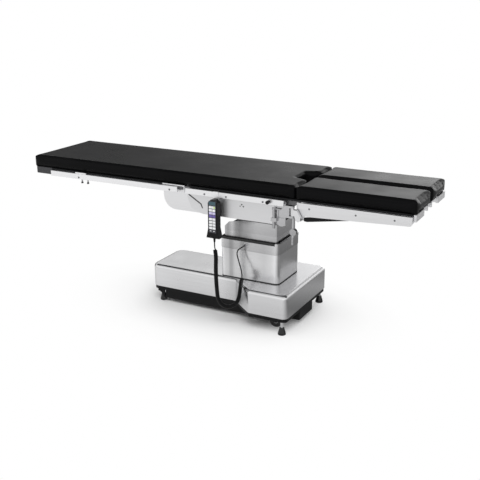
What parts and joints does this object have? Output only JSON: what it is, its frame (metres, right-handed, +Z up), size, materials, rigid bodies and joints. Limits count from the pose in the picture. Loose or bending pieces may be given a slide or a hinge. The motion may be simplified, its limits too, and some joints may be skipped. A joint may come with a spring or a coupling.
{
  "type": "operating table",
  "caption": "Operating table with T-shaped base, telescopic column, tilting padded top with side rails, raising back, split leg sections and a hand control on a curly cord.",
  "frame": {"origin": "on the floor under the middle of the table top", "axes": "+X along the table towards the foot end, +Y across it towards the side without the hand control, +Z up"},
  "size_m": [2.2, 0.585, 0.778],
  "materials": {
    "stainless": "brushed",
    "satin_steel": "satin",
    "black_paint": "satin",
    "bright_chrome": "polished",
    "black_plastic": "matte",
    "grey_plastic": "satin",
    "black_rubber": "matte",
    "tyre_rubber": "matte",
    "pad_cover": "matte vinyl",
    "board_plastic": "matte",
    "cast_grey": "satin"
  },
  "bodies": {
    "base": {"base_cover": "stainless", "chassis_tray": "black_paint", "chassis_beam": "black_paint", "battery_pack": "black_plastic", "pump_unit": "cast_grey", "column_gasket": "black_rubber", "lower_shroud": "stainless", "lower_wiper": "black_rubber", "guide_outer": "cast_grey", "lift_barrel": "cast_grey", "cord_tail_low": "black_rubber", "cord_coil": "black_rubber", "cord_tail_top": "black_rubber", "cord_plug": "black_plastic"},
    "floor_feet": {"foot_pads": "black_rubber", "foot_spindles": "bright_chrome"},
    "castor_near": {"castor_fork_near": "bright_chrome"},
    "castor_far": {"castor_fork_far": "bright_chrome"},
    "swivel_wheel_near_body": {"swivel_wheel_near": "tyre_rubber"},
    "swivel_wheel_far_body": {"swivel_wheel_far": "tyre_rubber"},
    "fixed_wheel_near_body": {"fixed_wheel_near": "tyre_rubber"},
    "fixed_wheel_far_body": {"fixed_wheel_far": "tyre_rubber"},
    "middle_stage": {"middle_shroud": "stainless", "middle_wiper": "black_rubber", "guide_middle": "cast_grey"},
    "column_head": {"upper_shroud": "stainless", "guide_inner": "cast_grey", "lift_rod": "bright_chrome", "head_fork": "cast_grey"},
    "cross": {"tilt_cross": "cast_grey"},
    "seat": {"seat_frame": "cast_grey", "seat_side_covers": "satin_steel", "seat_board": "board_plastic", "seat_pad": "pad_cover", "seat_rails": "satin_steel", "rail_stop_knobs": "black_plastic", "leg_sockets": "satin_steel"},
    "back": {"back_frame": "cast_grey", "back_board": "board_plastic", "back_pad": "pad_cover", "pad_fold": "pad_cover", "back_rails": "satin_steel", "back_side_plates": "satin_steel", "head_end_cap": "board_plastic"},
    "handset_body": {"handset": "grey_plastic", "handset_hook": "satin_steel"},
    "knuckle_near": {"leg_knuckle_near": "black_paint"},
    "leg_near": {"leg_frame_near": "satin_steel", "leg_board_near": "board_plastic", "leg_pad_near": "pad_cover"},
    "release_near": {"release_lever_near": "black_plastic"},
    "t_lever_near_body": {"t_lever_near": "black_plastic"},
    "lock_near": {"lock_handle_near": "black_plastic"},
    "knuckle_far": {"leg_knuckle_far": "black_paint"},
    "leg_far": {"leg_frame_far": "satin_steel", "leg_board_far": "board_plastic", "leg_pad_far": "pad_cover"},
    "release_far": {"release_lever_far": "black_plastic"},
    "t_lever_far_body": {"t_lever_far": "black_plastic"},
    "lock_far": {"lock_handle_far": "black_plastic"}
  },
  "joints": [
    {"name": "floor_lock", "type": "slide", "parent": "base", "child": "floor_feet", "axis": [0, 0, 1], "range_m": [0, 0.02]},
    {"name": "column_lift", "type": "slide", "parent": "base", "child": "column_head", "axis": [0, 0, 1], "range_m": [-0.06, 0.24], "deforming": ["cord_tail_low", "cord_coil", "cord_tail_top"]},
    {"name": "middle_lift", "type": "slide", "parent": "base", "child": "middle_stage", "axis": [0, 0, 1], "range_m": [-0.03, 0.12]},
    {"name": "trendelenburg", "type": "hinge", "parent": "column_head", "child": "cross", "pos_m": [0.201, 0, 0.6], "axis": [0, -1, 0], "range_deg": [-25, 25]},
    {"name": "lateral_tilt", "type": "hinge", "parent": "cross", "child": "seat", "pos_m": [0.201, 0, 0.6], "axis": [1, 0, 0], "range_deg": [-20, 20]},
    {"name": "back_hinge", "type": "hinge", "parent": "seat", "child": "back", "pos_m": [-0.095, 0, 0.69], "axis": [0, 1, 0], "range_deg": [-40, 80], "deforming": ["pad_fold"]},
    {"name": "handset_lift", "type": "slide", "parent": "seat", "child": "handset_body", "axis": [0, 0, 1], "range_m": [0, 0.08]},
    {"name": "castor_near_swivel", "type": "hinge", "parent": "base", "child": "castor_near", "pos_m": [-0.25, -0.068, 0.05], "axis": [0, 0, 1], "continuous": true},
    {"name": "castor_near_roll", "type": "hinge", "parent": "castor_near", "child": "swivel_wheel_near_body", "pos_m": [-0.272, -0.068, 0.034], "axis": [0, 1, 0], "continuous": true},
    {"name": "fixed_near_roll", "type": "hinge", "parent": "base", "child": "fixed_wheel_near_body", "pos_m": [0.386, -0.18, 0.0445], "axis": [0, 1, 0], "continuous": true},
    {"name": "leg_near_swivel", "type": "hinge", "parent": "seat", "child": "knuckle_near", "pos_m": [0.498, -0.25, 0.652], "axis": [0, 0, -1], "range_deg": [0, 25]},
    {"name": "leg_near_tilt", "type": "hinge", "parent": "knuckle_near", "child": "leg_near", "pos_m": [0.531, -0.24, 0.62], "axis": [0, 1, 0], "range_deg": [0, 90]},
    {"name": "leg_near_release", "type": "hinge", "parent": "leg_near", "child": "release_near", "pos_m": [0.8, -0.219, 0.65], "axis": [0, 1, 0], "range_deg": [0, 6], "stiffness_Nm_per_rad": 10, "springref_deg": -5.73},
    {"name": "t_lever_near_turn", "type": "hinge", "parent": "seat", "child": "t_lever_near_body", "pos_m": [0.403, -0.2565, 0.61], "axis": [0, 0, -1], "range_deg": [0, 90]},
    {"name": "lock_near_turn", "type": "hinge", "parent": "seat", "child": "lock_near", "pos_m": [0.506, -0.252, 0.553], "axis": [0, 1, 0], "range_deg": [0, 60]},
    {"name": "castor_far_swivel", "type": "hinge", "parent": "base", "child": "castor_far", "pos_m": [-0.25, 0.068, 0.05], "axis": [0, 0, 1], "continuous": true},
    {"name": "castor_far_roll", "type": "hinge", "parent": "castor_far", "child": "swivel_wheel_far_body", "pos_m": [-0.272, 0.068, 0.034], "axis": [0, 1, 0], "continuous": true},
    {"name": "fixed_far_roll", "type": "hinge", "parent": "base", "child": "fixed_wheel_far_body", "pos_m": [0.386, 0.18, 0.0445], "axis": [0, 1, 0], "continuous": true},
    {"name": "leg_far_swivel", "type": "hinge", "parent": "seat", "child": "knuckle_far", "pos_m": [0.498, 0.25, 0.652], "axis": [0, 0, 1], "range_deg": [0, 25]},
    {"name": "leg_far_tilt", "type": "hinge", "parent": "knuckle_far", "child": "leg_far", "pos_m": [0.531, 0.24, 0.62], "axis": [0, 1, 0], "range_deg": [0, 90]},
    {"name": "leg_far_release", "type": "hinge", "parent": "leg_far", "child": "release_far", "pos_m": [0.8, 0.219, 0.65], "axis": [0, 1, 0], "range_deg": [0, 6], "stiffness_Nm_per_rad": 10, "springref_deg": -5.73},
    {"name": "t_lever_far_turn", "type": "hinge", "parent": "seat", "child": "t_lever_far_body", "pos_m": [0.403, 0.2565, 0.61], "axis": [0, 0, 1], "range_deg": [0, 90]},
    {"name": "lock_far_turn", "type": "hinge", "parent": "seat", "child": "lock_far", "pos_m": [0.506, 0.252, 0.553], "axis": [0, 1, 0], "range_deg": [0, 60]}
  ],
  "couplings": [
    {"joint": "middle_lift", "follows": "column_lift", "ratio": 0.5}
  ]
}
